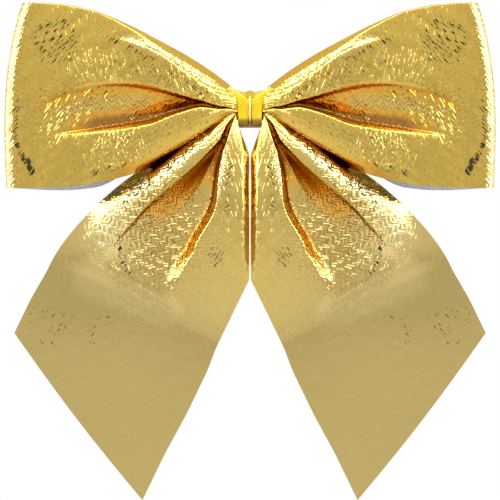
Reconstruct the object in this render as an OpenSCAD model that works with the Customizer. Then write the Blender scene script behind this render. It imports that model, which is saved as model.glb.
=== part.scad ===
// A ready-made gift bow: two loops and two tails of one foil-faced ribbon, drawn together by a
// wire-cored film tie. The tie's ends are twisted behind the knot and left free as two legs.
// The origin is behind the knot, where the legs part. +X is right, +Y is back and +Z is up.

/* [Ribbon] */
// Width of the ribbon
ribbon_w = 38; // [34:0.5:42]
// Thickness of the ribbon
ribbon_t = 0.35; // [0.2:0.05:0.45]
// Depth of the pleats where they are deepest
pleat_depth = 3.6; // [1.5:0.1:4]

/* [Loops] */
// Knot centre to the outside of the outer fold, at mid-width
loop_reach = 48.3; // [42:0.1:56]
// Height of the middle of the outer fold above the knot centre
loop_rise = 2.8; // [0:0.1:6]
// Lean of the outer fold from upright, its top end towards the knot
loop_lean = 5; // [0:0.1:10]
// How far the front wall stands before the knot centre
loop_front = 8.2; // [6:0.1:10]
// How far the back wall stands behind the knot centre
loop_back = 5.5; // [4:0.1:7]
// How far the top edge of the front wall rolls back
loop_roll = 3.6; // [1:0.1:5]
// Radius of the outer fold
fold_r = 2.4; // [1.5:0.1:3.5]
// How much lower the back wall hangs than the front wall
loop_sag = 0.6; // [0:0.1:1.5]

/* [Tails] */
// Angle of each tail from straight down
tail_angle = 25.8; // [22:0.1:30]
// Knot centre to the tip, along the tail
tail_len = 81.6; // [72:0.1:100]
// Distance of the outer edge from the line through the knot
tail_out = 23; // [20:0.1:25]
// How far the ridges stand before the knot centre
tail_front = 7.2; // [6:0.1:9]
// How far the flat part stands before the knot centre
tail_flat = 2.2; // [1.5:0.1:3.5]
// Knot centre to the line at which the flat end bends
tail_bend = 46; // [45:0.5:50]
// Angle of the cut end from square
cut_angle = 27; // [0:1:35]
// How far the cut bows out at its middle
cut_bow = 1.4; // [0:0.1:3]

/* [Knot] */
// Height of the gathered waist
waist_h = 5.6; // [5:0.1:7]
// Depth of the gathered waist
waist_d = 5; // [4.6:0.1:6]
// Length of the gathered waist between the two necks
waist_w = 2.2; // [1.6:0.1:2.6]
// Pleats round the waist
waist_pleats = 14; // [8:1:18]
// Depth of those pleats
waist_groove = 0.3; // [0:0.05:0.5]

/* [Tie] */
// Width of the film
film_w = 4.4; // [3.8:0.1:5.4]
// Width over the top of the knot, where the film spreads
film_top_w = 7.4; // [6:0.1:8]
// Height by which the spread edges stand up there
film_flare = 1; // [0.6:0.1:1.4]
// Thickness of the film
film_t = 0.2; // [0.12:0.02:0.3]
// Diameter of the core wire
wire_d = 0.6; // [0.4:0.05:0.8]
// Length of the twist
twist_len = 4.5; // [3:0.1:8]
// Turns in the twist
twist_turns = 1.25; // [1.25:1:3.25]
// Length of each free leg
leg_len = 31; // [20:0.5:38]
// Angle of each leg from straight down
leg_angle = 30; // [20:1:45]
// Length over which the gathered film opens out to a leg
leg_open = 7; // [5:0.5:10]

/* [Clearances] */
// Between pieces that move against each other
move_gap = 0.35; // [0.3:0.05:0.6]
// Between each tail and the centre line
tail_gap = 0.3; // [0.2:0.05:0.6]
// Between the film and the waist inside it
tie_gap = 0.15; // [0.1:0.05:0.3]
// Between the wire and the film over it
wire_gap = 0.05; // [0.03:0.01:0.1]

/* [Hidden] */

// The film's middle surface round the waist, and the ridge it makes over the wire.
band_hd = waist_d / 2 + tie_gap + film_t / 2;
band_hh = waist_h / 2 + tie_gap + film_t / 2;
wire_up = film_t / 2 + wire_d / 2 - 0.05;
ridge_up = wire_up + wire_d / 2 + wire_gap + film_t / 2;
ridge_hw = 2 * wire_d + wire_gap;
// The two ends of the band stop clear of the twist at the back.
strand_r = 0.48;
strand_off = strand_r + 0.06;
band_open = 32;
twist_y0 = band_hd - film_t / 2;
// From the knot centre back to the plane of the legs, which is the origin's.
knot_back = twist_y0 + twist_len + move_gap + film_t / 2;
leg_root = 1;
// The necks of the loops and tails, inside the mouths of the band.
neck_x = waist_w / 2 + 1.1;
neck_top = waist_h / 2 - 1.3;
neck_mid = -0.1;
neck_low = -(waist_h / 2 - 0.9);
neck_split = neck_mid - move_gap - 0.2;
neck_front = 0.95;
tail_neck_front = 0.9;
tail_in = ribbon_w - tail_out;
EPS = 0.0001;

function lerp(a, b, t) = a + (b - a) * t;
function ease(t) = let (k = min(max(t, 0), 1)) k * k * (3 - 2 * k);
function unit(v) = v / max(norm(v), EPS);
function at(p, i) = p[min(max(i, 0), len(p) - 1)];

// A smooth curve through the values p, at place t counted in values.
function curve(p, t) =
    let (i = min(floor(t), len(p) - 2), f = t - i)
    let (a = at(p, i - 1), b = p[i], c = p[i + 1], d = at(p, i + 2))
    b + f / 2 * (c - a + f * (2 * a - 5 * b + 4 * c - d + f * (3 * (b - c) + d - a)));

// The place of u in a rising list of stations.
function place(list, u) = lookup(u, [for (i = [0 : len(list) - 1]) [list[i], i]]);

// The direction square to a grid of points at row j and column i.
function grid_up(g, j, i) =
    let (r = len(g) - 1, c = len(g[0]) - 1)
    let (along = g[min(j + 1, r)][i] - g[max(j - 1, 0)][i])
    let (across = g[j][min(i + 1, c)] - g[j][max(i - 1, 0)])
    unit(cross(along, across));

// A sheet of thickness t on both sides of a grid of points.
module sheet(g, t) {
    r = len(g);
    c = len(g[0]);
    n = r * c;
    side = [for (k = [1, -1]) for (j = [0 : r - 1]) for (i = [0 : c - 1])
        g[j][i] + k * t / 2 * grid_up(g, j, i)];
    cells = [for (j = [0 : r - 2]) for (i = [0 : c - 2])
        let (a = j * c + i, b = a + c, d = a + 1, e = b + 1)
        each [[a, d, e], [a, e, b], [n + a, n + b, n + e], [n + a, n + e, n + d]]];
    rim_a = [for (j = [0 : r - 2]) let (a = j * c, b = a + c)
        each [[a, b, n + b], [a, n + b, n + a]]];
    rim_b = [for (j = [0 : r - 2]) let (a = j * c + c - 1, b = a + c)
        each [[b, a, n + a], [b, n + a, n + b]]];
    rim_c = [for (i = [0 : c - 2]) let (a = i, d = i + 1)
        each [[d, a, n + a], [d, n + a, n + d]]];
    rim_d = [for (i = [0 : c - 2]) let (a = n - c + i, d = a + 1)
        each [[a, d, n + d], [a, n + d, n + a]]];
    polyhedron(side, concat(cells, rim_a, rim_b, rim_c, rim_d));
}

// A round bar of radius r along the points p, which lie in the plane x = 0.
module bar(p, r, sides) {
    n = len(p);
    ring = [for (j = [0 : n - 1])
        let (way = unit(at(p, j + 1) - at(p, j - 1)), out = cross(way, [1, 0, 0]))
        for (k = [0 : sides - 1])
            p[j] + r * cos(360 * k / sides) * [1, 0, 0] + r * sin(360 * k / sides) * out];
    wall = [for (j = [0 : n - 2]) for (k = [0 : sides - 1])
        let (a = j * sides + k, b = j * sides + (k + 1) % sides)
        each [[a, b, b + sides], [a, b + sides, a + sides]]];
    ends = [[for (k = [sides - 1 : -1 : 0]) k], [for (k = [0 : sides - 1]) (n - 1) * sides + k]];
    polyhedron(ring, concat(wall, ends));
}

// The left loop. u runs from the neck (0) to the outer fold (1), and s from the top edge (0)
// to the bottom edge (1).
function swell(u) = pow(max(sin(180 * pow(u, 0.75)), 0), 1.4);
function loop_top(u) =
    lerp(neck_top, loop_rise + ribbon_w / 2 * cos(loop_lean), 1 - pow(1 - u, 2));
function loop_low(u) =
    lerp(neck_mid, loop_rise - ribbon_w / 2 * cos(loop_lean),
        1 - pow(1 - u, lerp(2.1, 2.9, min(u / 0.38, 1))));
function loop_x(u, s) =
    -lerp(neck_x, loop_reach - fold_r + (s - 0.5) * ribbon_w * sin(loop_lean), u);
function loop_drop(u) =
    pleat_depth * ease(u / 0.15) * max(sin(180 * sqrt(u)), 0) * (1 - pow(u, 3));
function loop_ridge(u) =
    lerp(neck_front, fold_r, u) + (loop_front - lerp(neck_front, fold_r, 0.4)) * swell(u);
function loop_heel(u) =
    lerp(neck_front, fold_r, u) + (loop_back - lerp(neck_front, fold_r, 0.4)) * pow(swell(u), 1.5);

// Where each fold line of the front wall lies between the edges, at five stations.
loop_at = [0, 0.18, 0.42, 0.7, 1];
loop_lines = [
    [0, 0, 0, 0, 0],                  // top edge
    [0.2, 0.18, 0.1, 0.11, 0.125],    // crest of the upper ridge
    [0.34, 0.33, 0.23, 0.26, 0.26],   // face of the upper ridge
    [0.47, 0.46, 0.36, 0.43, 0.4],    // lip over the valley
    [0.5, 0.5, 0.395, 0.46, 0.45],    // foot of the lip
    [0.56, 0.55, 0.58, 0.65, 0.58],   // bottom of the valley
    [0.6, 0.58, 0.62, 0.685, 0.62],   // foot of the lower ridge
    [0.64, 0.615, 0.655, 0.71, 0.66], // upper side of the lower ridge
    [0.75, 0.73, 0.74, 0.78, 0.77],   // crest of the lower ridge
    [0.87, 0.86, 0.87, 0.89, 0.89],   // underside of the lower ridge
    [1, 1, 1, 1, 1]];                 // bottom edge
loop_cols = [0, 0.5, 1, 1.5, 2, 2.5, 3, 3.5, 4, 4.5, 5, 5.5, 6, 6.5, 7, 7.5, 8, 8.5, 9, 10];

function loop_share(u, v) = curve([for (l = loop_lines) curve(l, place(loop_at, u))], v);
function loop_back_off(u) =
    let (d = loop_drop(u), under = (loop_ridge(u) + 0.8) * ease((0.8 - u) / 0.42) * ease(u / 0.05))
    [loop_roll * max(sin(180 * pow(u, 0.6)), 0), 0, 0.08 * d, 0.12 * d, 0.42 * d, d, d, 0.15 * d, 0,
        0.75 * under, under];
function loop_front_row(u) =
    let (off = loop_back_off(u))
    [for (v = loop_cols)
        let (s = loop_share(u, v))
        [loop_x(u, s), curve(off, v) - loop_ridge(u), lerp(loop_top(u), loop_low(u), s)]];
function loop_fold_row(turn) =
    [for (v = loop_cols)
        let (s = loop_share(1, v))
        [loop_x(1, s) - fold_r * sin(turn), -fold_r * cos(turn), lerp(loop_top(1), loop_low(1), s)]];
function loop_back_row(u) =
    [for (v = loop_cols)
        let (s = loop_share(1, v), low = loop_low(u) - loop_sag * swell(u))
        [loop_x(u, s), loop_heel(u) - 0.6 * loop_drop(u) * (0.5 + 0.5 * cos(720 * s)),
            lerp(loop_top(u), low, s)]];
loop_grid = concat(
    [for (k = [0 : 14]) loop_front_row(pow(k / 14, 1.25))],
    [for (turn = [45 : 45 : 135]) loop_fold_row(turn)],
    [for (k = [8 : -1 : 0]) loop_back_row(pow(k / 8, 1.25))]);

// The left tail. a runs along it from the knot centre, and b across it, the inner side +.
function tail_point(a, b, y) =
    [b * cos(tail_angle) - a * sin(tail_angle), y, -a * cos(tail_angle) - b * sin(tail_angle)];
function tail_a(x, z) = -x * sin(tail_angle) - z * cos(tail_angle);
function tail_b(x, z) = x * cos(tail_angle) - z * sin(tail_angle);
tail_a0 = [tail_a(-neck_x, neck_split), tail_a(-neck_x, neck_low)];
tail_b0 = [tail_b(-neck_x, neck_split), tail_b(-neck_x, neck_low)];
bend_gap = move_gap + ribbon_t / 2;
tail_stop = tail_bend - bend_gap / 2;

// The tails leave the mouth of the band sideways before they turn down under it.
function mouth_x(z) =
    lerp(neck_x, film_w / 2 + 0.5, ease((neck_low - z) / 0.6)) * (1 - ease((-z - band_hh - 0.5) / 5));
function tail_clear(p) = [min(p[0], -mouth_x(p[2])), p[1], p[2]];

function tail_along(u, s) = lerp(lerp(tail_a0[0], tail_a0[1], s), tail_stop, u);
function tail_outer(u) = lerp(tail_b0[0], -tail_out, 1 - pow(1 - u, 1.55));
function centre_b(a) = a * tan(tail_angle) - tail_gap / cos(tail_angle);
function tail_inner(u) =
    let (a = tail_along(u, 1), open = min(max((a - tail_a0[1]) / 6, 0), 1))
    let (gap = centre_b(tail_a0[1]) - tail_b0[1])
    min(tail_in, centre_b(a) - gap * pow(1 - open, 1.4));
function tail_drop(u) =
    1.1 * pleat_depth * ease(u / 0.12) * max(sin(180 * pow(min(u / 0.93, 1), 0.6)), 0);
function tail_ridge(u) =
    lerp(tail_neck_front, tail_flat, u)
    + (tail_front - lerp(tail_neck_front, tail_flat, 0.4)) * swell(u);

tail_at = [0, 0.15, 0.35, 0.58, 0.8, 1];
tail_lines = [
    [0, 0, 0, 0, 0, 0],                     // outer edge
    [0.13, 0.12, 0.13, 0.09, 0.08, 0.1],    // crest of the outer ridge
    [0.26, 0.25, 0.26, 0.19, 0.18, 0.22],   // shoulder of the outer ridge
    [0.36, 0.34, 0.35, 0.25, 0.24, 0.3],    // outer wall of the valley
    [0.42, 0.4, 0.41, 0.33, 0.32, 0.4],     // outer side of the valley floor
    [0.5, 0.47, 0.56, 0.54, 0.56, 0.56],    // inner side of the valley floor
    [0.58, 0.54, 0.65, 0.64, 0.67, 0.68],   // crest of the inner ridge
    [0.8, 0.8, 0.84, 0.84, 0.84, 0.84],     // shoulder of the inner ridge
    [1, 1, 1, 1, 1, 1]];                    // inner edge
tail_cols = [0, 0.33, 0.67, 1, 1.5, 2, 2.5, 3, 3.5, 4, 4.5, 5, 5.5, 6, 6.5, 7, 7.33, 7.67, 8];

function tail_share(u, v) = curve([for (l = tail_lines) curve(l, place(tail_at, u))], v);
function tail_row(u) =
    let (d = tail_drop(u))
    let (off = [0.5 * d, 0, 0.1 * d, 0.4 * d, d, d, 0.1 * d, 0, 0.9 * d])
    [for (v = tail_cols)
        let (s = tail_share(u, v))
        tail_clear(tail_point(tail_along(u, s), lerp(tail_outer(u), tail_inner(u), s),
            curve(off, v) - tail_ridge(u)))];
tail_top_grid = [for (k = [0, 0.4, each [1 : 16]]) tail_row(pow(k / 16, 1.2))];
function tail_cut(s) =
    tail_len - (1 - s) * ribbon_w * tan(cut_angle) + cut_bow * sin(180 * s);
tail_end_grid = [for (k = [0 : 8])
    [for (i = [0 : 12])
        let (s = i / 12)
        tail_point(lerp(tail_bend + bend_gap / 2, tail_cut(s), k / 8), lerp(-tail_out, tail_in, s),
            -tail_flat + 0.8 * pow(k / 8, 2))]];

// The tie round the waist. t turns from the back (0) over the top (90) and the front (180).
function bow_sign(x) = x < 0 ? -1 : 1;
function round_box(t, hd, hh) =
    [0, hd * bow_sign(cos(t)) * pow(abs(cos(t)), 0.7), hh * bow_sign(sin(t)) * pow(abs(sin(t)), 0.7)];
function band_out(t) =
    unit(cross(round_box(t + 1, band_hd, band_hh) - round_box(t - 1, band_hd, band_hh), [1, 0, 0]));
function band_spread(t) = pow(max(cos(t - 90), 0), 3);
function ridge(x) = abs(x) < ridge_hw ? ridge_up * pow(cos(90 * x / ridge_hw), 2) : 0;
// Half of the columns across a film lie on its ridge, and half on its two wings.
function film_x(q, hw) =
    let (in = min(ridge_hw, 0.85 * hw))
    bow_sign(q) * (abs(q) < 0.5 ? 2 * abs(q) * in : lerp(in, hw, 2 * abs(q) - 1));
film_cols = [for (i = [-8 : 8]) i / 8];
band_at = [for (k = [0 : 40]) lerp(band_open, 360 - band_open, k / 40)];
band_grid = [for (t = band_at)
    let (hw = lerp(film_w, film_top_w, band_spread(t)) / 2)
    [for (q = film_cols)
        let (x = film_x(q, hw))
        round_box(t, band_hd, band_hh) + [x, 0, 0]
            + band_out(t) * (ridge(x) + film_flare * band_spread(t) * pow(x / hw, 2))]];

// A leg lies along -Z here and is turned into place afterwards.
function leg_hw(d) = lerp(0.6, film_w / 2, ease(d / leg_open));
leg_rows = concat([for (k = [0 : 6]) leg_open * k / 6], [leg_len]);
leg_grid = [for (d = leg_rows) [for (q = film_cols)
    let (x = film_x(q, leg_hw(d)))
    [x, ridge(x), -d]]];

module at_knot() {
    translate([0, -knot_back, 0])
        children();
}
module other_side() {
    mirror([1, 0, 0])
        children();
}
module left_loop() {
    color("#c8a850")
        at_knot()
            sheet(loop_grid, ribbon_t);
}
module right_loop() {
    other_side()
        left_loop();
}
module left_tail_top() {
    color("#bea468")
        at_knot()
            sheet(tail_top_grid, ribbon_t);
}
module right_tail_top() {
    other_side()
        left_tail_top();
}
module left_tail_end() {
    color("#b8a162")
        at_knot()
            sheet(tail_end_grid, ribbon_t);
}
module right_tail_end() {
    other_side()
        left_tail_end();
}
module gathered_waist() {
    color("#a07832")
        at_knot()
            rotate([90, 0, 90])
                translate([0, 0, -waist_w / 2])
                    linear_extrude(height = waist_w)
                        polygon([for (t = [0 : 3 : 357])
                            let (k = waist_groove * (0.5 - 0.5 * cos(waist_pleats * t)))
                            let (p = round_box(t, waist_d / 2 - k, waist_h / 2 - k))
                            [p[1], p[2]]]);
}
module tie_band_film() {
    color("#f0d428")
        at_knot()
            sheet(band_grid, film_t);
}
module tie_band_wire() {
    color("#b4b4b8")
        at_knot()
            bar([for (t = band_at) round_box(t, band_hd, band_hh) + wire_up * band_out(t)],
                wire_d / 2, 10);
}
module strand(turn) {
    color("#e0c424")
        at_knot()
            translate([0, twist_y0, 0])
                rotate([-90, turn, 0])
                    linear_extrude(height = twist_len, twist = 360 * twist_turns, slices = 28)
                        translate([0, strand_off])
                            scale([1.5, 1])
                                circle(r = strand_r, $fn = 18);
}
module tie_strand_a() {
    strand(0);
}
module tie_strand_b() {
    strand(180);
}
module left_leg_film() {
    color("#f0d428")
        translate([-leg_root, 0, 0])
            rotate([0, leg_angle, 0])
                sheet(leg_grid, film_t);
}
module right_leg_film() {
    other_side()
        left_leg_film();
}
module left_leg_wire() {
    color("#b4b4b8")
        translate([-leg_root, 0, 0])
            rotate([0, leg_angle, 0])
                translate([0, wire_up, -leg_len])
                    cylinder(d = wire_d, h = leg_len, $fn = 24);
}
module right_leg_wire() {
    other_side()
        left_leg_wire();
}

left_loop();
right_loop();
left_tail_top();
right_tail_top();
left_tail_end();
right_tail_end();
gathered_waist();
tie_band_film();
tie_band_wire();
tie_strand_a();
tie_strand_b();
left_leg_film();
right_leg_film();
left_leg_wire();
right_leg_wire();
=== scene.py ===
import math

import bpy
import numpy as np
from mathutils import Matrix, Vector


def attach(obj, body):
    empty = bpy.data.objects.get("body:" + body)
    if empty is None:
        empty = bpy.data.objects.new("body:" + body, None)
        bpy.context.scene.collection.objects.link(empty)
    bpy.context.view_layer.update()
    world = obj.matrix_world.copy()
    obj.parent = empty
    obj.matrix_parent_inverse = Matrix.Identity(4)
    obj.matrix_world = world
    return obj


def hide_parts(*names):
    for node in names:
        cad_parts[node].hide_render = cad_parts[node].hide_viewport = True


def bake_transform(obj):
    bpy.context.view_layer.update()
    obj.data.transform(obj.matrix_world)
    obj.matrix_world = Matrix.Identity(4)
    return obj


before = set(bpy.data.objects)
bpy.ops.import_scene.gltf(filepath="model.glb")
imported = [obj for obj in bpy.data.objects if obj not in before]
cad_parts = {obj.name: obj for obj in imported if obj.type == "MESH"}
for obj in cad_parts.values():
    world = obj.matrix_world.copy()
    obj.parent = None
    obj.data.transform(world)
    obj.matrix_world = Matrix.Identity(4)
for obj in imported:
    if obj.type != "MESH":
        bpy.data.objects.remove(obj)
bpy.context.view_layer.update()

MM = 0.001
KNOT_Y = -7.6              # the knot's centre lies this far before the origin, in mm
RIBBON_W = 38.0
RIBBON_T = 0.11
FILM_T = 0.14
TAIL_ANGLE = math.radians(25.8)
TAIL_BEND = 46.0
TAIL_LEN = 81.6
TAIL_OUT = 23.0            # the outer edge's distance from the tail's line
TAIL_FLAT_Y = -2.2         # the flat part lies this far before the knot's centre
CUT_ANGLE = math.radians(27)
LEG_ANGLE = math.radians(30)
LEG_LEN = 31.0


# Curves and small helpers. Lengths are in mm, from the knot's centre, until a mesh is made.
def lerp(a, b, t):
    return a + (b - a) * t


def ease(t):
    t = np.clip(t, 0, 1)
    return t * t * (3 - 2 * t)


def through(xs, ys, x):
    """A smooth curve through the points (xs, ys) at x, without overshoot; ys may hold several curves."""
    xs, ys, x = np.asarray(xs, float), np.asarray(ys, float), np.asarray(x, float)
    step = np.diff(xs).reshape((-1,) + (1,) * (ys.ndim - 1))
    rise = np.diff(ys, axis=0) / step
    a, b = rise[:-1], rise[1:]
    same = a * b > 0
    mean = 2 * a * b / np.where(same, a + b, 1)
    slope = np.concatenate([rise[:1], np.where(same, mean, 0), rise[-1:]])
    i = np.clip(np.searchsorted(xs, x) - 1, 0, len(xs) - 2)
    h = xs[i + 1] - xs[i]
    f = np.clip((x - xs[i]) / h, 0, 1)
    if ys.ndim > 1:
        h, f = h[..., None], f[..., None]
    a, b, ma, mb = ys[i], ys[i + 1], slope[i] * h, slope[i + 1] * h
    return a + f * (ma + f * (3 * (b - a) - 2 * ma - mb + f * (2 * (a - b) + ma + mb)))


def ripple(p, q, seed):
    """A smooth irregular wave over two coordinates, about -1 to 1."""
    total = np.zeros(np.broadcast(p, q).shape)
    for k in range(6):
        turn = seed * 2.4 + k * 1.7
        total += np.sin(p * math.cos(turn) * (1 + 0.31 * k) + q * math.sin(turn) * (1 + 0.23 * k)
                        + 5.1 * k + seed)
    return total / 3.2


def fade(t, none, full):
    """0 where t is at none, 1 where it is at full, and smooth between."""
    return ease((t - none) / (full - none))


def spot(x, z, at, size, turn=0.0):
    """A soft oval mark, 1 in its middle and 0 outside."""
    c, s = math.cos(math.radians(turn)), math.sin(math.radians(turn))
    dx, dz = x - at[0], z - at[1]
    k = ((dx * c + dz * s) / size[0]) ** 2 + ((dz * c - dx * s) / size[1]) ** 2
    return ease(1.6 * (1 - k))


def along_line(x, z, points, width):
    """A soft mark of a width along a line of points."""
    best = np.full(np.shape(x), 1e9)
    for (ax, az), (bx, bz) in zip(points, points[1:]):
        dx, dz = bx - ax, bz - az
        t = np.clip(((x - ax) * dx + (z - az) * dz) / (dx * dx + dz * dz), 0, 1)
        best = np.minimum(best, np.hypot(x - ax - t * dx, z - az - t * dz))
    return ease(1.5 * (1 - best / width))


# The left loop: u from the neck to the outer fold, s from the top edge to the bottom edge.
NECK_X = 2.2
FOLD_R = 2.3
LOOP_ROWS, FOLD_ROWS, BACK_ROWS, LOOP_COLS = 120, 18, 60, 132
LOOP_AT = [0, 0.06, 0.18, 0.42, 0.7, 1]
LOOP_RAILS = [                               # share of the height, set-back in pleat depths
    ([0, 0, 0, 0, 0, 0], 0),                            # top edge
    ([0.28, 0.2, 0.11, 0.035, 0.008, 0.004], 0),        # upper side of the crest
    ([0.4, 0.34, 0.2, 0.08, 0.12, 0.15], 0),            # crest
    ([0.6, 0.5, 0.29, 0.13, 0.17, 0.25], 0),            # under the crest
    ([0.9, 0.7, 0.475, 0.368, 0.42, 0.59], 0.06),       # just over the lip
    ([0.925, 0.715, 0.495, 0.388, 0.438, 0.62], 0.16),  # lip
    ([0.935, 0.725, 0.51, 0.41, 0.46, 0.64], 0.46),     # foot of the lip
    ([0.945, 0.735, 0.53, 0.5, 0.555, 0.67], 0.68),     # tongue
    ([0.955, 0.745, 0.55, 0.6, 0.65, 0.7], 1.0),        # bottom of the valley
    ([0.96, 0.755, 0.565, 0.63, 0.685, 0.73], 0.98),    # foot of the lower ridge
    ([0.965, 0.77, 0.58, 0.655, 0.705, 0.76], 0.28),    # upper side of the lower ridge
    ([0.97, 0.79, 0.61, 0.69, 0.73, 0.79], 0.04),       # shoulder
    ([0.98, 0.87, 0.72, 0.76, 0.785, 0.83], 0),         # crest of the lower ridge
    ([0.995, 0.98, 0.94, 0.93, 0.92, 0.91], 0),         # low face
    ([1, 1, 1, 1, 1, 1], 0)]                            # bottom edge
LOOP_HIGH = [3.5, 7, 14.7, 27, 36, 38]       # height of the loop at LOOP_AT
LOOP_LONG = 44.0                             # from the neck to the outer fold
FRONT_REACH, BACK_REACH = 8.2, 5.5           # how far the walls swell from the middle
TOP_EDGE = ([2.2, 3.3, 5.5, 12, 18.6, 25.1, 31.6, 38.2, 46.3],
            [3.0, 4.1, 6.0, 10.3, 13.9, 17.2, 19.8, 21.3, 22.0])
LOW_EDGE = ([2.2, 4, 7, 10, 15, 20.2, 26.7, 31.6, 39, 46, 52],
            [-0.45, -1.0, -3.3, -5.7, -9.2, -12.1, -14.2, -15.3, -16, -16.1, -16.1])


def swell(u):
    return np.sin(np.pi * u ** 0.75).clip(0) ** 1.4


def fold_x(s):
    return -(46.65 + 3.3 * s + 1.9 * np.sin(np.pi * s ** 0.85)) + FOLD_R


def loop_drop(u):
    return through([0, 0.04, 0.12, 0.25, 0.42, 0.56, 0.7, 0.85, 1],
                   [0, 0.8, 2.7, 4.6, 4.3, 2.8, 1.1, 0.15, 0], u)


def loop_ridge(u, reach, neck=0.95):
    return lerp(neck, FOLD_R, ease(u / 0.6)) + (reach - lerp(neck, FOLD_R, 0.5)) * swell(u)


def row_lengths(grid, zero):
    """How far each point lies along its row of the grid, from the column zero."""
    far = np.cumsum(np.linalg.norm(np.diff(grid, axis=1, prepend=grid[:, :1]), axis=-1), axis=1)
    return far - far[:, zero:zero + 1]


def loop_wall(u, front):
    """Rows of the loop's front or back wall, with u one value a row."""
    u = u[:, None]
    shares = np.array([through(LOOP_AT, r[0], u[:, 0]) for r in LOOP_RAILS]).T
    d, ridge = loop_drop(u), loop_ridge(u, FRONT_REACH, 2.5)
    under = (ridge + 0.7) * fade(u, 0.52, 0.3) * ease(u / 0.05)
    sets = np.array([r[1] for r in LOOP_RAILS])[None, :] * d
    crest = (fade(u, 0.72, 0.4) * fade(u, 0.0, 0.1))[:, 0]
    high = np.interp(u[:, 0], LOOP_AT, LOOP_HIGH)
    strip = np.minimum(2.1, 2.2 * shares[:, 1] * high) * fade(u[:, 0], 0.0, 0.1)
    sets[:, 0] += 1.25 * crest + strip
    sets[:, 1] += 1.25 * crest
    sets[:, 2] += 0.62 * crest
    sets[:, 13] += 0.16 * under[:, 0]
    sets[:, 14] += under[:, 0]
    v = np.linspace(0, len(LOOP_RAILS) - 1, LOOP_COLS)
    rails = np.arange(len(LOOP_RAILS))
    plain = shares[-1:].repeat(len(u), 0)
    s = np.array([through(rails, row, v) for row in (shares if front else plain)])
    off = np.array([through(rails, row, v) for row in sets])
    x = lerp(-NECK_X, fold_x(s), u)
    top = through(*TOP_EDGE, -x)
    low = through(*LOW_EDGE, -x)
    if front:
        y = off - ridge
    else:
        low = low + 1.8 * fade(u, 0.66, 0.44)
        low = low - 0.55 * np.sin(np.pi * u ** 2) * fade(u, 0.4, 0.6)
        back = loop_ridge(u, BACK_REACH)
        y = lerp(back, back ** 0.9, 0.8) - 0.3 * d * (1 + np.cos(4 * np.pi * s))
    z = lerp(top, low, s)
    gather = (1 - ease(u / 0.45)) * ease(u / 0.04)
    y = y + 0.05 * gather * np.sin(2 * np.pi * (11 * s + 0.8 * np.sin(5 * u)))
    y = y + 0.07 * ripple(x * 0.9, z * 0.9, 1.3) * ease(u / 0.2)
    grid = np.stack([x, y, z], -1)
    q = row_lengths(grid, LOOP_COLS // 3)
    # Painted shade: darker amber and brown in the throat and the valley, under the lip, along the low edge,
    # on the strip above the crest and along two rims.
    throat = fade(v, 5.3, 5.9) * fade(v, 10.6, 9.9) * fade(u, 0.46, 0.24)
    valley = fade(v, 7.1, 8.0) * fade(v, 10.5, 9.7) * fade(u, 0.84, 0.62) * 0.85
    painted_shade_mask = np.maximum(throat, valley) * fade(u, -0.05, 0.42)
    painted_shade_mask = np.maximum(painted_shade_mask, fade(v, 5.2, 5.5) * fade(v, 7.1, 5.9) * fade(u, 0.98, 0.8) * 0.6)
    painted_shade_mask = np.maximum(painted_shade_mask, fade(v, 12.5, 13.5) * fade(u, 0.64, 0.46) * 0.6)
    painted_shade_mask = np.maximum(painted_shade_mask, fade(v, 1.0, 0.6) * fade(u, 0.62, 0.42) * 0.22)
    rims = fade(v, 4.4, 4.9) * fade(v, 5.9, 5.3) + fade(v, 11.2, 10.8) * fade(v, 9.9, 10.3)
    painted_shade_mask = np.maximum(painted_shade_mask, rims * fade(u, 0.75, 0.5) * 0.28)
    painted_shade = painted_shade_mask if front else 0 * x
    return grid, q, u * LOOP_LONG + 0 * s, painted_shade


def loop_parts():
    front, q, p, painted_shade = loop_wall(np.linspace(0, 1, LOOP_ROWS) ** 1.15, True)
    back, q_back, p_back, painted_shade_back = loop_wall(np.linspace(1, 0, BACK_ROWS) ** 1.15, False)
    turn = np.linspace(0, np.pi, FOLD_ROWS + 2)[1:-1, None]
    edge, far, q1 = front[-1], back[0], q[-1:]
    mid = (edge[:, 1] + far[:, 1]) / 2
    half = (far[:, 1] - edge[:, 1]) / 2
    fold = np.stack([edge[None, :, 0] - FOLD_R * np.sin(turn),
                     mid[None] - half[None] * np.cos(turn),
                     edge[None, :, 2] + 0 * turn], -1)
    grid = np.concatenate([front, fold, back])
    q = np.concatenate([q, q1.repeat(FOLD_ROWS, 0), q_back])
    p_fold = LOOP_LONG + FOLD_R * turn + 0 * q1
    p = np.concatenate([p, p_fold, LOOP_LONG + FOLD_R * np.pi + (LOOP_LONG - p_back)])
    painted_shade = np.concatenate([painted_shade, 0 * q1.repeat(FOLD_ROWS, 0), painted_shade_back])
    return grid, p, q, painted_shade


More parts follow.
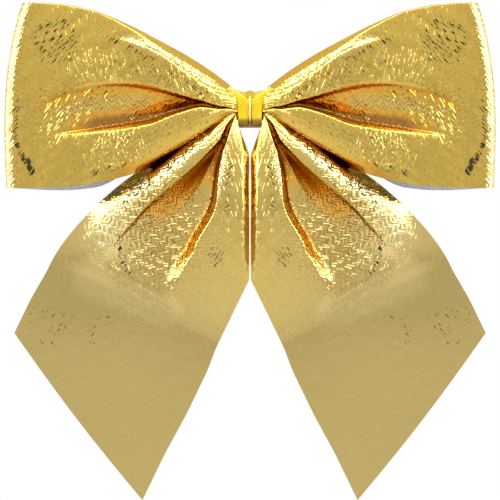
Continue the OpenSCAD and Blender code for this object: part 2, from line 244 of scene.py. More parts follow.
# The left tail: a along it from the knot, b across it, the inner side positive.
TAIL_ROWS, END_ROWS, TAIL_COLS = 120, 60, 120
CA, SA = math.cos(TAIL_ANGLE), math.sin(TAIL_ANGLE)
TAIL_AT = [0, 0.06, 0.15, 0.25, 0.43, 0.64, 0.8, 1]
TAIL_RAILS = [
    ([0, 0, 0, 0, 0, 0, 0, 0], 0.5),                                   # outer edge
    ([0.09, 0.1, 0.125, 0.125, 0.095, 0.05, 0.06, 0.08], 0),           # outer side of the crest
    ([0.14, 0.15, 0.18, 0.18, 0.15, 0.12, 0.13, 0.13], 0),             # crest of the outer ridge
    ([0.2, 0.2, 0.25, 0.26, 0.22, 0.2, 0.2, 0.18], 0),                 # shallow crease
    ([0.27, 0.3, 0.39, 0.37, 0.27, 0.235, 0.225, 0.23], 0),            # shoulder
    ([0.32, 0.36, 0.43, 0.41, 0.33, 0.25, 0.25, 0.28], 0.35),          # outer wall of the valley
    ([0.35, 0.39, 0.455, 0.45, 0.43, 0.36, 0.31, 0.35], 0.85),         # outer side of the floor
    ([0.38, 0.42, 0.48, 0.495, 0.51, 0.47, 0.44, 0.45], 1.0),          # floor
    ([0.41, 0.45, 0.5, 0.56, 0.625, 0.58, 0.56, 0.56], 0.95),          # inner side of the floor
    ([0.43, 0.47, 0.525, 0.59, 0.668, 0.615, 0.62, 0.63], 0.35),       # inner wall
    ([0.46, 0.5, 0.55, 0.62, 0.7, 0.645, 0.66, 0.69], 0),           # crest of the inner ridge
    ([0.75, 0.8, 0.86, 0.9, 0.92, 0.92, 0.9, 0.86], 0.03),             # shoulder of the inner ridge
    ([1, 1, 1, 1, 1, 1, 1, 1], 0.4)]                                   # inner edge
TAIL_DEEP = ([0, 0.05, 0.12, 0.25, 0.4, 0.6, 0.78, 0.88, 0.95, 1],
             [0, 1.2, 3.8, 5.6, 5.0, 3.6, 2.0, 0.85, 0.25, 0])


def tail_point(a, b, y):
    return np.stack([b * CA - a * SA, y, -a * CA - b * SA], -1)


def tail_parts():
    u = (np.linspace(0, 1, TAIL_ROWS) ** 1.15)[:, None]
    v = np.linspace(0, len(TAIL_RAILS) - 1, TAIL_COLS)
    rails = np.arange(len(TAIL_RAILS))
    shares = np.array([through(TAIL_AT, r[0], u[:, 0]) for r in TAIL_RAILS]).T
    d = through(*TAIL_DEEP, u)
    sets = np.array([r[1] for r in TAIL_RAILS])[None, :] * d
    ridge = lerp(2.35, -TAIL_FLAT_Y, u) + 5 * swell(u)
    tuck = 1 - ease((u - 0.3) / 0.25)         # the outer edge goes behind the loop
    sets[:, 0] += ((ridge + 0.9) * tuck)[:, 0]
    crest = (fade(u, 0.02, 0.15) * fade(u, 1.0, 0.72))[:, 0]
    sets[:, :4] += crest[:, None] * np.array([1.7, 2.1, 1.0, 0.25])
    s = np.array([through(rails, row, v) for row in shares])
    off = np.array([through(rails, row, v) for row in sets])
    even = np.linspace(0, 1, TAIL_COLS)[None]
    s = lerp(s, even, ease((u - 0.86) / 0.14))
    top, low = (-NECK_X, -0.65), (-NECK_X, -2.6)
    a0 = [-x * SA - z * CA for x, z in (top, low)]
    b0 = [x * CA - z * SA for x, z in (top, low)]
    a = lerp(lerp(a0[0], a0[1], s), TAIL_BEND, u)
    outer = lerp(b0[0], -TAIL_OUT, 1 - (1 - u) ** 1.68) - 1.2 * tuck * fade(u, 0.46, 0.2)
    a_in = lerp(a0[1], TAIL_BEND, u)
    centre = a_in * math.tan(TAIL_ANGLE) - 0.18 / CA
    start = a0[1] * math.tan(TAIL_ANGLE) - 0.18 / CA - b0[1]
    inner = centre - start * (1 - np.clip((a_in - a0[1]) / 6, 0, 1)) ** 1.4
    inner = np.minimum(RIBBON_W - TAIL_OUT, inner)
    gather = (1 - ease(u / 0.5)) * ease(u / 0.04)
    y = off - ridge + 0.04 * gather * np.sin(2 * np.pi * (12 * s + 0.6 * np.sin(6 * u)))
    head = tail_point(a, lerp(outer, inner, s), y)
    mouth = np.interp(-head[..., 2], [2.6, 3.1, 3.65, 9.8], [NECK_X, 2.45, 2.3, 0])
    head[..., 0] = np.minimum(head[..., 0], -mouth)
    k = np.linspace(0, 1, END_ROWS + 1)[1:, None]
    cut = TAIL_LEN - (1 - even) * RIBBON_W * math.tan(CUT_ANGLE) + 0.6 * np.sin(np.pi * even)
    a_end = lerp(TAIL_BEND + 0 * even, cut, k)
    wide = (0.5 * fade(k, 0.05, 0.6), 0.45 * fade(k, 0, 0.2) * fade(k, 0.75, 0.4))
    b_end = lerp(-TAIL_OUT - wide[0], RIBBON_W - TAIL_OUT + wide[1], even)
    end = tail_point(a_end, b_end, TAIL_FLAT_Y + 0.25 * k ** 2 + 0 * even)
    grid = np.concatenate([head, end])
    p = np.concatenate([a, a_end])
    q = row_lengths(grid, TAIL_COLS // 2)
    # Painted shade: darker amber and brown in the throat, on the valley's walls and floor, on the outer
    # strip and along the inner edge.
    throat = fade(v, 4.5, 5.4) * fade(v, 9.9, 9.2) * fade(u, 0.42, 0.24) * fade(u, -0.1, 0.32) * 0.75
    wall = fade(v, 4.3, 5.0) * fade(v, 6.6, 5.7) * fade(u, 0.66, 0.5) * 0.55
    painted_shade_mask = np.maximum(throat, wall)
    painted_shade_mask = np.maximum(painted_shade_mask, fade(v, 7.5, 8.4) * fade(v, 9.9, 9.2) * fade(u, 0.76, 0.6) * 0.65)
    painted_shade_mask = np.maximum(painted_shade_mask, fade(v, 1.5, 1.0) * fade(u, 0.7, 0.5) * 0.42)
    painted_shade_mask = np.maximum(painted_shade_mask, fade(v, 11.7, 11.9) * fade(u, 0.7, 0.45) * 0.5)
    painted_shade = np.concatenate([painted_shade_mask + 0 * s, 0 * a_end])
    waves = ripple(grid[..., 0] * 0.8, grid[..., 2] * 0.8, 2.1)
    grid[..., 1] += 0.06 * waves * ease((p - 6) / 8) * fade(p, 46, 34)
    grid[..., 1] += 0.2 * np.sin(q * 0.1 + 0.4) * np.cos(p * 0.05) * np.clip((p - 20) / 30, 0, 1)
    grid[..., 1] -= 0.55 * fade(p, 35, 47.5) * fade(p, 74, 47.5) * np.exp(-((q + 3) / 15) ** 2)
    return grid, p, q, painted_shade


# Meshes.
def make_piece(name, points, faces, marks=None, materials=(), face_material=None):
    mesh = bpy.data.meshes.new(name)
    mesh.from_pydata((np.asarray(points) * MM).tolist(), [], faces)
    for key, values in (marks or {}).items():
        layer = mesh.attributes.new(key, "FLOAT_VECTOR", "POINT")
        layer.data.foreach_set("vector", np.asarray(values, np.float32).ravel())
    for m in materials:
        mesh.materials.append(m)
    if face_material is not None:
        mesh.polygons.foreach_set("material_index", np.asarray(face_material, np.int32))
    mesh.polygons.foreach_set("use_smooth", np.full(len(mesh.polygons), True))
    mesh.update()
    mesh.validate()
    mesh.set_sharp_from_angle(angle=math.radians(80))
    piece = bpy.data.objects.new(name, mesh)
    bpy.context.collection.objects.link(piece)
    return piece


def grid_up(grid):
    along = np.gradient(grid, axis=0)
    across = np.gradient(grid, axis=1)
    up = np.cross(along, across)
    return up / np.linalg.norm(up, axis=-1, keepdims=True).clip(1e-9)


def thin_sheet(name, grid, thickness, marks, finishes, mirror=False, flip=False):
    """A sheet round a grid of points, with a finish each for its face, its reverse and its edge."""
    rows, cols = grid.shape[:2]
    up = grid_up(grid) * (-1 if flip else 1)
    points = np.concatenate([(grid + up * thickness / 2).reshape(-1, 3),
                             (grid - up * thickness / 2).reshape(-1, 3)])
    points = points + np.array([0, KNOT_Y, 0])
    n = rows * cols
    index = np.arange(n).reshape(rows, cols)
    a, b, c, d = index[:-1, :-1], index[1:, :-1], index[1:, 1:], index[:-1, 1:]
    near = np.stack([a, b, c, d], -1).reshape(-1, 4)
    far = np.stack([a, d, c, b], -1).reshape(-1, 4) + n
    rim = np.concatenate([index[0, :], index[1:, -1], index[-1, -2::-1], index[-2:0:-1, 0]])
    nxt = np.roll(rim, -1)
    edge = np.stack([rim, nxt, nxt + n, rim + n], -1)
    faces = np.concatenate([near, far, edge])
    if flip != mirror:
        faces = faces[:, ::-1]
    if mirror:
        points = points * np.array([-1, 1, 1])
    kind = np.repeat([0, 1, 2], [len(near), len(far), len(edge)])
    both = {key: np.concatenate([v.reshape(n, 3)] * 2) for key, v in marks.items()}
    return make_piece(name, points, faces.tolist(), both, finishes, kind)


# Shader maths: a socket that takes part in Python expressions.
class Value:
    def __init__(self, tree, socket):
        self.tree, self.socket = tree, socket

    def node(self, kind, settings=None, inputs=None, out=0):
        made = self.tree.nodes.new(kind)
        for key, value in (settings or {}).items():
            setattr(made, key, value)
        for key, value in (inputs or {}).items():
            socket = made.inputs[key]
            if isinstance(value, Value):
                self.tree.links.new(value.socket, socket)
            else:
                socket.default_value = value
        return Value(self.tree, made.outputs[out])

    def maths(self, operation, a, b=0.0):
        return self.node("ShaderNodeMath", {"operation": operation}, {0: a, 1: b})

    def __add__(self, other): return self.maths("ADD", self, other)
    def __radd__(self, other): return self.maths("ADD", other, self)
    def __sub__(self, other): return self.maths("SUBTRACT", self, other)
    def __rsub__(self, other): return self.maths("SUBTRACT", other, self)
    def __mul__(self, other): return self.maths("MULTIPLY", self, other)
    def __rmul__(self, other): return self.maths("MULTIPLY", other, self)
    def __truediv__(self, other): return self.maths("DIVIDE", self, other)

    def fraction(self): return self.maths("FRACT", self)
    def size(self): return self.maths("ABSOLUTE", self)
    def at_least(self, other): return self.maths("MAXIMUM", self, other)

    def step(self, low, high):
        return self.node("ShaderNodeMapRange", {"interpolation_type": "SMOOTHSTEP"},
                         {"Value": self, "From Min": low, "From Max": high})

    def mix(self, a, b):
        return self.node("ShaderNodeMix", {"data_type": "RGBA"}, {0: self, 6: a, 7: b}, out=2)

    def noise(self, scale, detail=2.0, rough=0.5):
        return self.node("ShaderNodeTexNoise", {}, {"Vector": self, "Scale": scale, "Detail": detail,
                                                    "Roughness": rough})

    def parts(self):
        made = self.node("ShaderNodeSeparateXYZ", {}, {0: self})
        return [Value(self.tree, made.socket.node.outputs[i]) for i in range(3)]

    def joined(self, x, y, z=0.0):
        return self.node("ShaderNodeCombineXYZ", {}, {0: x, 1: y, 2: z})


def new_finish(name):
    material = bpy.data.materials.new(name)
    material.use_nodes = True
    tree = material.node_tree
    shader = tree.nodes["Principled BSDF"]
    return material, tree, shader, Value(tree, None)


def linear(r, g, b):
    """A colour given as it shows on a screen, 0 to 255."""
    def one(c):
        c = c / 255
        return c / 12.92 if c <= 0.04045 else ((c + 0.055) / 1.055) ** 2.4
    return (one(r), one(g), one(b), 1.0)


def foil_finish():
    material, tree, shader, v = new_finish("gold_foil")
    co = v.node("ShaderNodeAttribute", {"attribute_name": "ribbon_co"}, out=1)
    marks = v.node("ShaderNodeAttribute", {"attribute_name": "ribbon_marks"}, out=1)
    place = v.node("ShaderNodeAttribute", {"attribute_name": "ribbon_place"}, out=1)
    p, q, painted_shade = co.parts()
    dark_glint, emboss, warm = marks.parts()
    x, z, feather = place.parts()
    painted_highlight = v.node("ShaderNodeAttribute", {"attribute_name": "ribbon_painted_highlight"}, out=2)
    flat = v.joined(p, q)
    drift = flat.noise(0.3, 1.0)
    jitter = flat.noise(0.9, 1.0)
    # The embossed herringbone: rows of zigzag strokes along the ribbon.
    zig = ((p / 1.9 + drift * 1.2).fraction() - 0.5).size() * 2.0
    row = ((q + zig * 1.3 + (jitter - 0.5) * 0.9) / 1.12).fraction()
    line = 1.0 - (row - 0.5).size() * 2.0
    broken = 0.3 + flat.noise(0.8, 2.0).step(0.36, 0.56) * 0.7
    stroke = line.step(0.35, 0.95) * broken
    groove = (1.0 - line).step(0.45, 1.0) * broken
    grain = flat.noise(3.0, 2.0)
    speck = v.joined((x + z * 0.5) * 1.2, (z - x * 0.5) * 0.4).noise(2.6, 2.0).step(0.54, 0.7)
    lean = v.joined(x + z * 0.3, (z - x * 0.3) * 0.24)
    plume = lean.noise(1.9, 1.0).step(0.53, 0.66) * feather
    height = (stroke * 0.75 - groove * 0.45) * emboss + plume * 0.5
    height = height + grain * (0.04 + emboss * 0.08) + drift * 0.2
    bump = v.node("ShaderNodeBump", {}, {"Strength": 0.7, "Distance": 0.0002, "Height": height})
    # Painted dark glints, reflections of dark surroundings painted into the colour, lie slantwise in the
    # places that the marks give.
    slant = v.joined((x - z) * 1.2, (z + x) * 0.24)
    dark_glint_mask = (slant.noise(2.0, 1.0) - 0.82 + dark_glint * 0.32).step(0.0, 0.06)
    gold = warm.mix(linear(194, 171, 104), linear(212, 177, 75))
    # Painted shade: the embossed zones are darker.
    gold = (emboss * 0.6).mix(gold, linear(164, 131, 54))
    gold = (speck * (0.14 + warm * 0.34)).mix(gold, linear(122, 98, 40))
    # Painted shade in the emboss's grooves; painted highlights on its strokes and plumes.
    gold = (groove * emboss * 0.75).mix(gold, linear(140, 98, 30))
    gold = (stroke * emboss * 0.4).mix(gold, linear(250, 232, 168))
    gold = (plume * 0.3).mix(gold, linear(250, 232, 168))
    # Painted highlight: paler gold along the crests, beads and folds, broken by the emboss's lines.
    lined = emboss.step(0.1, 0.45)
    painted_highlight = painted_highlight * (0.5 + lined * (line.step(0.15, 0.75) * 0.75 - 0.25))
    gold = painted_highlight.mix(gold, linear(253, 235, 172))
    # Painted shade: amber, then brown, in the valleys, creases and rims that the ribbon's marks give.
    gold = (painted_shade.step(0.05, 0.4) * 0.8).mix(gold, linear(213, 158, 50))
    gold = painted_shade.step(0.35, 1.0).mix(gold, linear(146, 100, 48))
    gold = (dark_glint_mask * 0.95).mix(gold, linear(44, 38, 24))
    tree.links.new(gold.socket, shader.inputs["Base Color"])
    shader.inputs["Metallic"].default_value = 1.0
    rough = 0.14 + (grain - 0.5) * 0.1 + dark_glint_mask * 0.2
    tree.links.new(rough.socket, shader.inputs["Roughness"])
    shader.inputs["Specular Tint"].default_value = linear(255, 226, 150)
    shader.inputs["Coat Weight"].default_value = 0.25
    shader.inputs["Coat Roughness"].default_value = 0.16
    tree.links.new(bump.socket, shader.inputs["Normal"])
    return material


def reverse_finish():
    material, tree, shader, v = new_finish("pale_reverse")
    co = v.node("ShaderNodeAttribute", {"attribute_name": "ribbon_co"}, out=1)
    p, q, _ = co.parts()
    weave = (p * 2.6).fraction().step(0.3, 0.7) * 0.5 + (q * 2.6).fraction().step(0.3, 0.7) * 0.5
    cloud = co.noise(0.5, 2.0)
    colour = (weave * 0.5 + cloud * 0.5).mix(linear(196, 200, 212), linear(226, 229, 236))
    bump = v.node("ShaderNodeBump", {}, {"Strength": 0.3, "Distance": 0.0001, "Height": weave})
    tree.links.new(colour.socket, shader.inputs["Base Color"])
    tree.links.new(bump.socket, shader.inputs["Normal"])
    rough = 0.42 + cloud * 0.2
    tree.links.new(rough.socket, shader.inputs["Roughness"])
    shader.inputs["Metallic"].default_value = 0.35
    return material


def film_finish():
    material, tree, shader, v = new_finish("yellow_film")
    where = v.node("ShaderNodeTexCoord", {}, {}, out=3)
    crinkle = where.noise(420.0, 3.0)
    drawn = v.node("ShaderNodeVectorMath", {"operation": "MULTIPLY"}, {0: where, 1: (1900.0, 160.0, 160.0)})
    streak = drawn.noise(1.0, 2.0)
    height = crinkle * 0.5 + streak * 0.3
    bump = v.node("ShaderNodeBump", {}, {"Strength": 0.35, "Distance": 0.00012, "Height": height})
    painted_film_light = v.node("ShaderNodeAttribute", {"attribute_name": "ribbon_co"}, out=1)
    _, bright, shade = painted_film_light.parts()
    colour = streak.step(0.3, 0.75).mix(linear(244, 208, 10), linear(252, 226, 30))
    # Painted shade and a painted highlight from the band's marks: darker olive-brown, and a pale line along
    # the wire's ridge.
    colour = (shade * 0.9).mix(colour, linear(124, 86, 26))
    colour = bright.mix(colour, linear(250, 246, 214))
    tree.links.new(colour.socket, shader.inputs["Base Color"])
    rough = 0.2 + crinkle * 0.18
    tree.links.new(rough.socket, shader.inputs["Roughness"])
    tree.links.new(bump.socket, shader.inputs["Normal"])
    shader.inputs["Metallic"].default_value = 0.75
    shader.inputs["Coat Weight"].default_value = 0.5
    shader.inputs["Coat Roughness"].default_value = 0.12
    return material


def wire_finish():
    material, tree, shader, v = new_finish("soft_steel_wire")
    where = v.node("ShaderNodeTexCoord", {}, {}, out=3)
    scratch = where.noise(900.0, 3.0)
    colour = scratch.mix(linear(150, 150, 154), linear(190, 190, 194))
    tree.links.new(colour.socket, shader.inputs["Base Color"])
    rough = 0.3 + scratch * 0.2
    tree.links.new(rough.socket, shader.inputs["Roughness"])
    shader.inputs["Metallic"].default_value = 1.0
    return material


def edge_finish():
    material, tree, shader, v = new_finish("cut_ribbon_edge")
    where = v.node("ShaderNodeTexCoord", {}, {}, out=3)
    colour = where.noise(700.0, 2.0).mix(linear(150, 116, 52), linear(178, 144, 74))
    tree.links.new(colour.socket, shader.inputs["Base Color"])
    shader.inputs["Roughness"].default_value = 0.6
    shader.inputs["Metallic"].default_value = 0.4
    return material


foil, reverse, film, wire = foil_finish(), reverse_finish(), film_finish(), wire_finish()
cut_edge = edge_finish()


# Where the foil shows painted dark glints, emboss with painted shade and highlights, painted highlights and
# a warmer gold, by place on the bow.
def ribbon_marks(p, q, painted_shade, x, z, dark_glint, emboss, feather, painted_highlight, warm):
    return {"ribbon_co": np.stack([p, q, painted_shade], -1), "ribbon_place": np.stack([x, z, feather], -1),
            "ribbon_marks": np.stack([dark_glint, np.clip(emboss, 0, 1), warm], -1),
            "ribbon_painted_highlight": np.stack([painted_highlight] * 3, -1)}


def loop_marks(grid, p, q, painted_shade):
    x, z = grid[..., 0], grid[..., 2]
    front = (p < 47)
    # Painted dark glints: zones where dark reflections are painted into the foil.
    dark_glint = 0.82 * spot(x, z, (-39.4, 13.6), (6.4, 7.0), 35)
    dark_glint = np.maximum(dark_glint, along_line(x, z, [(-47.6, 2.6), (-48.2, -5.2), (-47, -9)], 1.0))
    dark_glint = np.maximum(dark_glint, 1.3 * along_line(x, z, [(-46.2, -9.7), (-44.4, -13)], 1.3))
    dark_glint = np.maximum(dark_glint, 0.8 * along_line(x, z, [(-32, -13.3), (-25.6, -11.6)], 1.3))
    dark_glint = np.maximum(dark_glint, 0.8 * along_line(x, z, [(-29.1, 14.2), (-24, 12.0), (-9.2, 3.2)], 1.2))
    dark_glint = np.maximum(dark_glint, 0.62 * spot(x, z, (-18, 6.5), (15, 2.6), -22))
    dark_glint = np.maximum(dark_glint, 0.55 * spot(x, z, (-18, -5), (14, 2.2), 12))
    dark_glint = np.maximum(dark_glint, 0.5 * spot(x, z, (-43, 1), (5, 5)))
    dark_glint = np.maximum(dark_glint, 0.58 * spot(x, z, (-34, 2.5), (9, 4)))
    dark_glint = np.where(front, dark_glint, 0.3)
    emboss = 0.04 + 0.42 * fade(p, 43, 45) + 0.5 * spot(x, z, (-27, 0.5), (18, 5.6), 4)
    emboss = np.maximum(emboss, 0.42 * np.exp(-((x + 25) / 8) ** 2 - ((z + 7) / 4.5) ** 2))
    crest = [(-27, 15.4), (-24.2, 14.2), (-15, 9.4), (-8.8, 5.5), (-4.2, 2.9)]
    emboss = np.maximum(emboss, 0.3 * along_line(x, z, crest, 1.5))
    emboss = np.maximum(emboss, 0.35 * np.exp(-((x + 39) / 6) ** 2 - ((z + 2) / 6) ** 2))
    feather = np.maximum(spot(x, z, (-29, 8), (11, 5), -8), 0.7 * spot(x, z, (-12, 4), (12, 4), -28))
    feather = np.maximum(feather, 0.9 * spot(x, z, (-27, -8.5), (9, 4.5), 15))
    feather = np.maximum(feather, 0.22) * front
    # Painted highlight along the crest and on the outer fold.
    painted_highlight = 0.4 * along_line(x, z, crest[1:-1], 1.2) * front
    painted_highlight = np.maximum(painted_highlight, 0.6 * fade(p, 44, 45.5) * fade(p, 51, 49))
    return ribbon_marks(p, q, painted_shade, x, z, dark_glint, emboss, feather, painted_highlight, 0.9 + 0 * p)


def tail_marks(grid, p, q, painted_shade):
    x, z = grid[..., 0], grid[..., 2]
    crest = [(-9.8, -6), (-15.1, -11.1), (-20.3, -15.1), (-25.5, -19)]
    # Painted dark glints along the outer crest and in zones.
    dark_glint = 0.95 * along_line(x, z, crest, 1.2)
    dark_glint = np.maximum(dark_glint, 0.9 * along_line(x, z, [(-26.7, -26), (-26.4, -31), (-24, -35)], 0.9))
    dark_glint = np.maximum(dark_glint, 0.8 * spot(x, z, (-6.9, -30.6), (2.6, 3.8)))
    dark_glint = np.maximum(dark_glint, 0.5 * spot(x, z, (-20, -31), (6, 5)))
    dark_glint = np.maximum(dark_glint, 0.55 * spot(x, z, (-41, -44), (6, 6)))
    dark_glint = np.maximum(dark_glint, 0.5 * spot(x, z, (-30, -45), (6, 5), -40))
    dark_glint = np.maximum(dark_glint, 0.75 * along_line(x, z, [(-3.9, -9), (-4.2, -15), (-4.8, -21)], 1.2))
    emboss = 0.02 + 0.95 * np.exp(-((x + 19) / 9) ** 2 - ((z + 24) / 11) ** 2)
    emboss = np.maximum(emboss, 0.6 * along_line(x, z, crest + [(-30, -24)], 2.2))
    beads = [(-5.3, -5), (-5.6, -10), (-5.9, -13), (-6.7, -17), (-8.6, -20.5), (-11, -25),
             (-12.8, -29)]
    emboss = np.maximum(emboss, 0.8 * along_line(x, z, beads, 1.2))
    feather = np.maximum(spot(x, z, (-27, -26), (8, 9), -20), 0.8 * spot(x, z, (-4, -16), (5, 16), 10))
    feather = np.maximum(feather, 0.25 * fade(p, 56, 40))
    # Painted highlight along the outer crest and the inner ridge's beads, on a patch at the outer shoulder
    # and in a band below the bowl.
    painted_highlight = np.maximum(0.9 * along_line(x, z, crest + [(-29, -22)], 2.0),
                       0.8 * along_line(x, z, beads, 0.9))
    painted_highlight = np.maximum(painted_highlight, 0.8 * np.exp(-((x + 29.5) / 4.5) ** 2 - ((z + 25.5) / 6) ** 2))
    painted_highlight = np.maximum(painted_highlight, 0.3 * along_line(x, z, [(-33, -35), (-25, -38.5), (-17, -41.3)], 4.5))
    warm = 0.5 * fade(p, 52, 18) + 0 * q
    return ribbon_marks(p + 200, q, painted_shade, x, z, dark_glint, emboss, feather, painted_highlight, warm)


# The ribbon: two loops and two tails.
loop_grid, *loop_co = loop_parts()
tail_grid, *tail_co = tail_parts()
bend_y = np.array(KNOT_Y + TAIL_FLAT_Y)
bend_at = tail_point(np.array(TAIL_BEND - 4.0), np.array(0.0), bend_y) * MM
bend_to = tail_point(np.array(TAIL_BEND + 4.0), np.array(0.0), bend_y) * MM
for side, sign in (("left", 1), ("right", -1)):
    loop = thin_sheet(f"{side}_ribbon_loop", loop_grid, RIBBON_T, loop_marks(loop_grid, *loop_co),
                      (foil, reverse, cut_edge), mirror=sign < 0)
    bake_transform(loop)
    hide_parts(f"{side}_loop")
    tail = thin_sheet(f"{side}_ribbon_tail", tail_grid, RIBBON_T, tail_marks(tail_grid, *tail_co),
                      (foil, reverse, cut_edge), mirror=sign < 0)
    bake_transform(tail)
    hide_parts(f"{side}_tail_top", f"{side}_tail_end")


# The tie: the film round the waist, the twist behind it and the two legs.
RIDGE_UP, RIDGE_HALF = 0.8, 0.55      # the wire's ridge in the legs' film
STRAND_R, STRAND_LEN, STRAND_TURNS = 0.48, 4.5, 1.25
WAIST_HALF, WAIST_DEEP, WAIST_HIGH, WAIST_PLEATS = 3.2, 2.4, 2.7, 28


def round_box(t, hd, hh):
    c, s = np.cos(t), np.sin(t)
    return hd * np.sign(c) * np.abs(c) ** 0.7, hh * np.sign(s) * np.abs(s) ** 0.7


def film_ridge(x):
    return RIDGE_UP * np.cos(np.pi / 2 * np.clip(np.abs(x) / RIDGE_HALF, 0, 1)) ** 1.6


def band_parts():
    """The film round the waist: its section, from the back over the top, front and bottom."""
    q = np.linspace(-1, 1, 97)
    far = np.abs(q)
    side = np.clip((far - 0.22) / 0.78, 0, 1)
    top = lerp(3.42, 4.15, side)              # back edge of the film's top
    fold = lerp(1.9, 4.0, side)               # front fold, a V from the corners to the wire
    still = 0 * q
    section = [                               # angle, depth and height of each line round the waist
        (32, still + 2.45, still + 1.5),
        (62, still + 1.6, lerp(2.9, 3.2, side)),
        (95, still + 0.2, top - 0.12),
        (118, still - 0.9, top),
        (148, still - 2.45, fold + 0.16),
        (156, still - 2.72, fold - 0.16),
        (180, still - 2.86, still + 0.4),
        (212, still - 2.84, still - 1.5),
        (226, still - 2.66, still - 2.15),
        (248, still - 2.0, still - 3.4),
        (256, still - 1.5, still - 3.7),
        (300, still + 1.5, still - 3.3),
        (328, still + 2.5, still - 1.8)]
    t = np.linspace(32, 328, 181)
    at = [row[0] for row in section]
    y = through(at, [row[1] for row in section], t)
    z = through(at, [row[2] for row in section], t)
    hw = np.interp(z, [-3.6, -2, 0, 2, 4.2], [2.3, 2.36, 2.42, 2.65, 3.6])
    hw = np.where(y > 0, np.minimum(hw, 2.9), hw)
    x = hw * q[None]
    around = np.stack([0 * x, y, z], -1)
    way = np.gradient(around, axis=0)
    out = np.stack([0 * x, -way[..., 2], way[..., 1]], -1)
    out = -out / np.linalg.norm(out, axis=-1, keepdims=True).clip(1e-9)
    spread = lerp(0.46, 0.98, fade(z, 1.2, 3.4))
    bump = np.cos(np.pi / 2 * np.clip(np.abs(x) / spread, 0, 1)) ** lerp(1.5, 0.8, fade(z, 1.2, 3.4))
    bump = bump * fade(z, -3.6, -2.6) * lerp(1, 0.72, fade(z, 2.2, 3.6))
    grid = np.stack([x, y, z], -1) + out * (0.62 * bump)[..., None]
    grid = grid + out * (0.05 * np.sin(np.radians(7 * t))[:, None] * far[None])[..., None]
    # Painted shade on the film: darker on its lower part, in lines beside the wire's ridge, on the dome at
    # the top and behind the front fold; a painted highlight along the ridge's front.
    sway = 0.06 * np.sin(2.2 * z)
    line = np.exp(-((x - 0.26 - sway) / 0.12) ** 2) + 0.5 * np.exp(-((x + 0.34 - sway) / 0.14) ** 2)
    shade = np.maximum(fade(z, -1.5, -2.5), line * fade(z, 2.2, 1.6))
    shade = np.maximum(shade, 0.5 * fade(z, 1.7, 2.3) * (np.abs(x) < 1))
    shade = np.maximum(shade, 0.22 * fade(z - fold[None], 0.1, 0.3))
    bright = 0.7 * np.exp(-((x + 0.02 - sway) / 0.12) ** 2) * (y < 0)
    bright = bright * fade(z, -2.6, -1.4) * fade(z, 2.8, 1.8)
    return grid, np.stack([x, bright, shade], -1)


band_grid, band_co = band_parts()
band = thin_sheet("tie_band", band_grid, FILM_T, {"ribbon_co": band_co}, (film, film, film), flip=True)
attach(band, "knot")
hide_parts("tie_band_film")


def strand_piece(name, turn, node):
    rings, sides = 60, 40
    k = np.linspace(0, 1, rings)[:, None]
    a = np.linspace(0, 2 * np.pi, sides, endpoint=False)[None]
    r = STRAND_R * (1 + 0.09 * np.cos(7 * a))
    px, pz = 1.5 * r * np.cos(a), 0.54 + r * np.sin(a)
    w = 2 * np.pi * STRAND_TURNS * k + turn
    x = px * np.cos(w) - pz * np.sin(w)
    z = px * np.sin(w) + pz * np.cos(w)
    y = 2.65 + STRAND_LEN * k + KNOT_Y + 0 * a
    points = np.stack([x, y, z], -1).reshape(-1, 3)
    index = np.arange(rings * sides).reshape(rings, sides)
    nxt = np.roll(index, -1, axis=1)
    faces = np.stack([index[:-1], nxt[:-1], nxt[1:], index[1:]], -1).reshape(-1, 4).tolist()
    faces += [index[0, ::-1].tolist(), index[-1].tolist()]
    piece = make_piece(name, points, faces, None, (film,))
    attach(piece, "knot")
    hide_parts(node)


strand_piece("twisted_strand_a", 0.0, "tie_strand_a")
strand_piece("twisted_strand_b", math.pi, "tie_strand_b")


def leg_parts():
    d = np.linspace(-0.4, LEG_LEN, 120)[:, None]
    q = np.linspace(-1, 1, 49)[None]
    hw = lerp(0.5, 2.2, fade(d, 5, 13))
    x = q * hw
    y = film_ridge(x) + 0.05 * np.sin(1.3 * d + 2.5 * x) * ease(d / 6) * np.abs(q)
    y = y + 0.1 * (1 - ease(d / 6)) * np.cos(6 * np.pi * q)
    ca, sa = math.cos(LEG_ANGLE), math.sin(LEG_ANGLE)
    return np.stack([-1 + x * ca - d * sa, y - KNOT_Y, -d * ca - x * sa], -1)


leg_grid = leg_parts()
leg_marks = {"ribbon_co": np.zeros(leg_grid.shape)}
for side, sign in (("left", 1), ("right", -1)):
    leg = thin_sheet(f"{side}_tie_leg", leg_grid, FILM_T, leg_marks, (film, film, film),
                     mirror=sign < 0)
    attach(leg, f"leg_{side}")
    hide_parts(f"{side}_leg_film")


def waist_piece():
    rings, sides = 15, 168
    x = np.linspace(-WAIST_HALF, WAIST_HALF, rings)[:, None]
    a = np.linspace(0, 2 * np.pi, sides, endpoint=False)[None]
    groove = 0.175 * (1 - np.cos(WAIST_PLEATS * a)) + 0.325 * fade(np.abs(x), 1.8, WAIST_HALF)
    y, z = round_box(a, WAIST_DEEP, WAIST_HIGH)
    shrink = 1 - groove / 2.6
    points = np.stack([x + 0 * a, y * shrink + KNOT_Y, z * shrink], -1).reshape(-1, 3)
    index = np.arange(rings * sides).reshape(rings, sides)
    nxt = np.roll(index, -1, axis=1)
    faces = np.stack([index[:-1], nxt[:-1], nxt[1:], index[1:]], -1).reshape(-1, 4).tolist()
    faces += [index[0, ::-1].tolist(), index[-1].tolist()]
    across = np.tile(np.linspace(0, RIBBON_W, sides), rings)
    co = np.stack([points[:, 0] + 100, across, 0 * across], -1)
    marks = {"ribbon_co": co, "ribbon_place": co, "ribbon_marks": np.tile([0.2, 0.5, 0.8], (len(points), 1))}
    return make_piece("gathered_ribbon_waist", points, faces, marks, (foil,))


waist = waist_piece()
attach(waist, "knot")
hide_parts("gathered_waist")

for name in ("tie_band_wire", "left_leg_wire", "right_leg_wire"):
    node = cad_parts[name]
    node.data.materials.clear()
    node.data.materials.append(wire)


# Floor, light and camera.
def path_rays(v):
    return [v.node("ShaderNodeLightPath", {}, {}, out=f"Is {kind} Ray")
            for kind in ("Camera", "Glossy", "Transmission")]


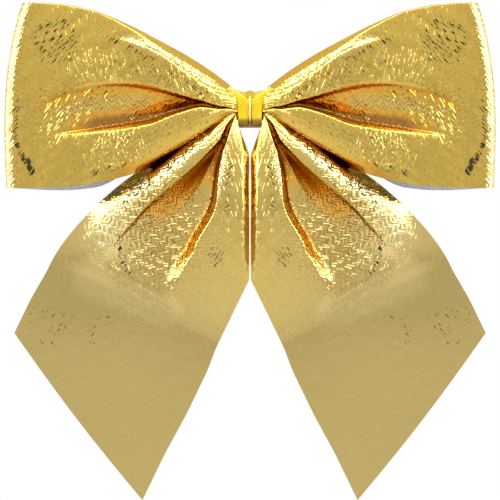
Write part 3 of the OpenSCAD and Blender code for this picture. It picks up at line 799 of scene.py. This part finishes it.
def floor_piece():
    bpy.ops.mesh.primitive_circle_add(vertices=96, radius=1.6, fill_type="TRIFAN", location=(0, 0, -0.14))
    floor = bpy.context.object
    floor.name = "studio_floor"
    material, tree, shader, v = new_finish("pale_floor")
    where = v.node("ShaderNodeTexCoord", {}, {}, out=3)
    far = where.node("ShaderNodeVectorMath", {"operation": "LENGTH"}, {0: where}, out=1)
    far = far.step(0.16, 0.6)
    shader.inputs["Base Color"].default_value = (0.66, 0.66, 0.655, 1)
    shader.inputs["Roughness"].default_value = 0.8
    camera_ray, glossy, through_glass = path_rays(v)
    seen = camera_ray.at_least(glossy).at_least(through_glass)
    glow = v.node("ShaderNodeEmission", {}, {"Color": (1, 1, 1, 1), "Strength": 1.0})
    mixed = v.node("ShaderNodeMixShader", {}, {0: far * seen, 1: Value(tree, shader.outputs[0]), 2: glow})
    tree.links.new(mixed.socket, tree.nodes["Material Output"].inputs["Surface"])
    floor.data.materials.append(material)


def studio_world():
    world = bpy.data.worlds.new("studio")
    bpy.context.scene.world = world
    world.use_nodes = True
    tree = world.node_tree
    v = Value(tree, None)
    way = v.node("ShaderNodeTexCoord", {}, {}, out=0)
    z = way.parts()[2]
    room = z.step(-0.8, 0.6).mix((0.2, 0.2, 0.2, 1), (0.45, 0.45, 0.45, 1))
    camera_ray, glossy, through_glass = path_rays(v)
    mirrored = glossy.at_least(through_glass) * z.step(-0.6, 0.35)
    colour = camera_ray.at_least(mirrored).mix(room, (1.0, 1.0, 1.0, 1))
    tree.links.new(colour.socket, tree.nodes["Background"].inputs["Color"])


def soft_light(name, at, wide, high, watts):
    data = bpy.data.lights.new(name, "AREA")
    data.shape, data.size, data.size_y, data.energy = "RECTANGLE", wide, high, watts
    lamp = bpy.data.objects.new(name, data)
    lamp.location = at
    lamp.rotation_euler = (Vector((0, -0.01, -0.02)) - Vector(at)).to_track_quat("-Z", "Y").to_euler()
    bpy.context.collection.objects.link(lamp)


floor_piece()
studio_world()
soft_light("top_softbox", (0, -0.36, 0.56), 1.1, 0.18, 4.7)
for side, way in (("left", -1), ("right", 1)):
    soft_light(f"{side}_key_light", (way * 0.66, -0.22, 0.28), 0.46, 0.34, 3.4)
    soft_light(f"{side}_side_light", (way * 0.72, 0.1, 0), 0.7, 0.5, 1.8)

PHOTO_MM = 102.5           # width of the frame at the loops
CAMERA_AWAY = 600.0
CAMERA_Z = -28.8
camera_data = bpy.data.cameras.new("photo_camera")
camera_data.lens = 36 * CAMERA_AWAY / PHOTO_MM
camera_data.sensor_width = 36
camera = bpy.data.objects.new("photo_camera", camera_data)
camera.location = (0, (KNOT_Y - 1 - CAMERA_AWAY) * MM, CAMERA_Z * MM)
camera.rotation_euler = (math.pi / 2, 0, 0)
bpy.context.collection.objects.link(camera)
bpy.context.scene.camera = camera
bpy.context.scene.view_settings.view_transform = "Standard"
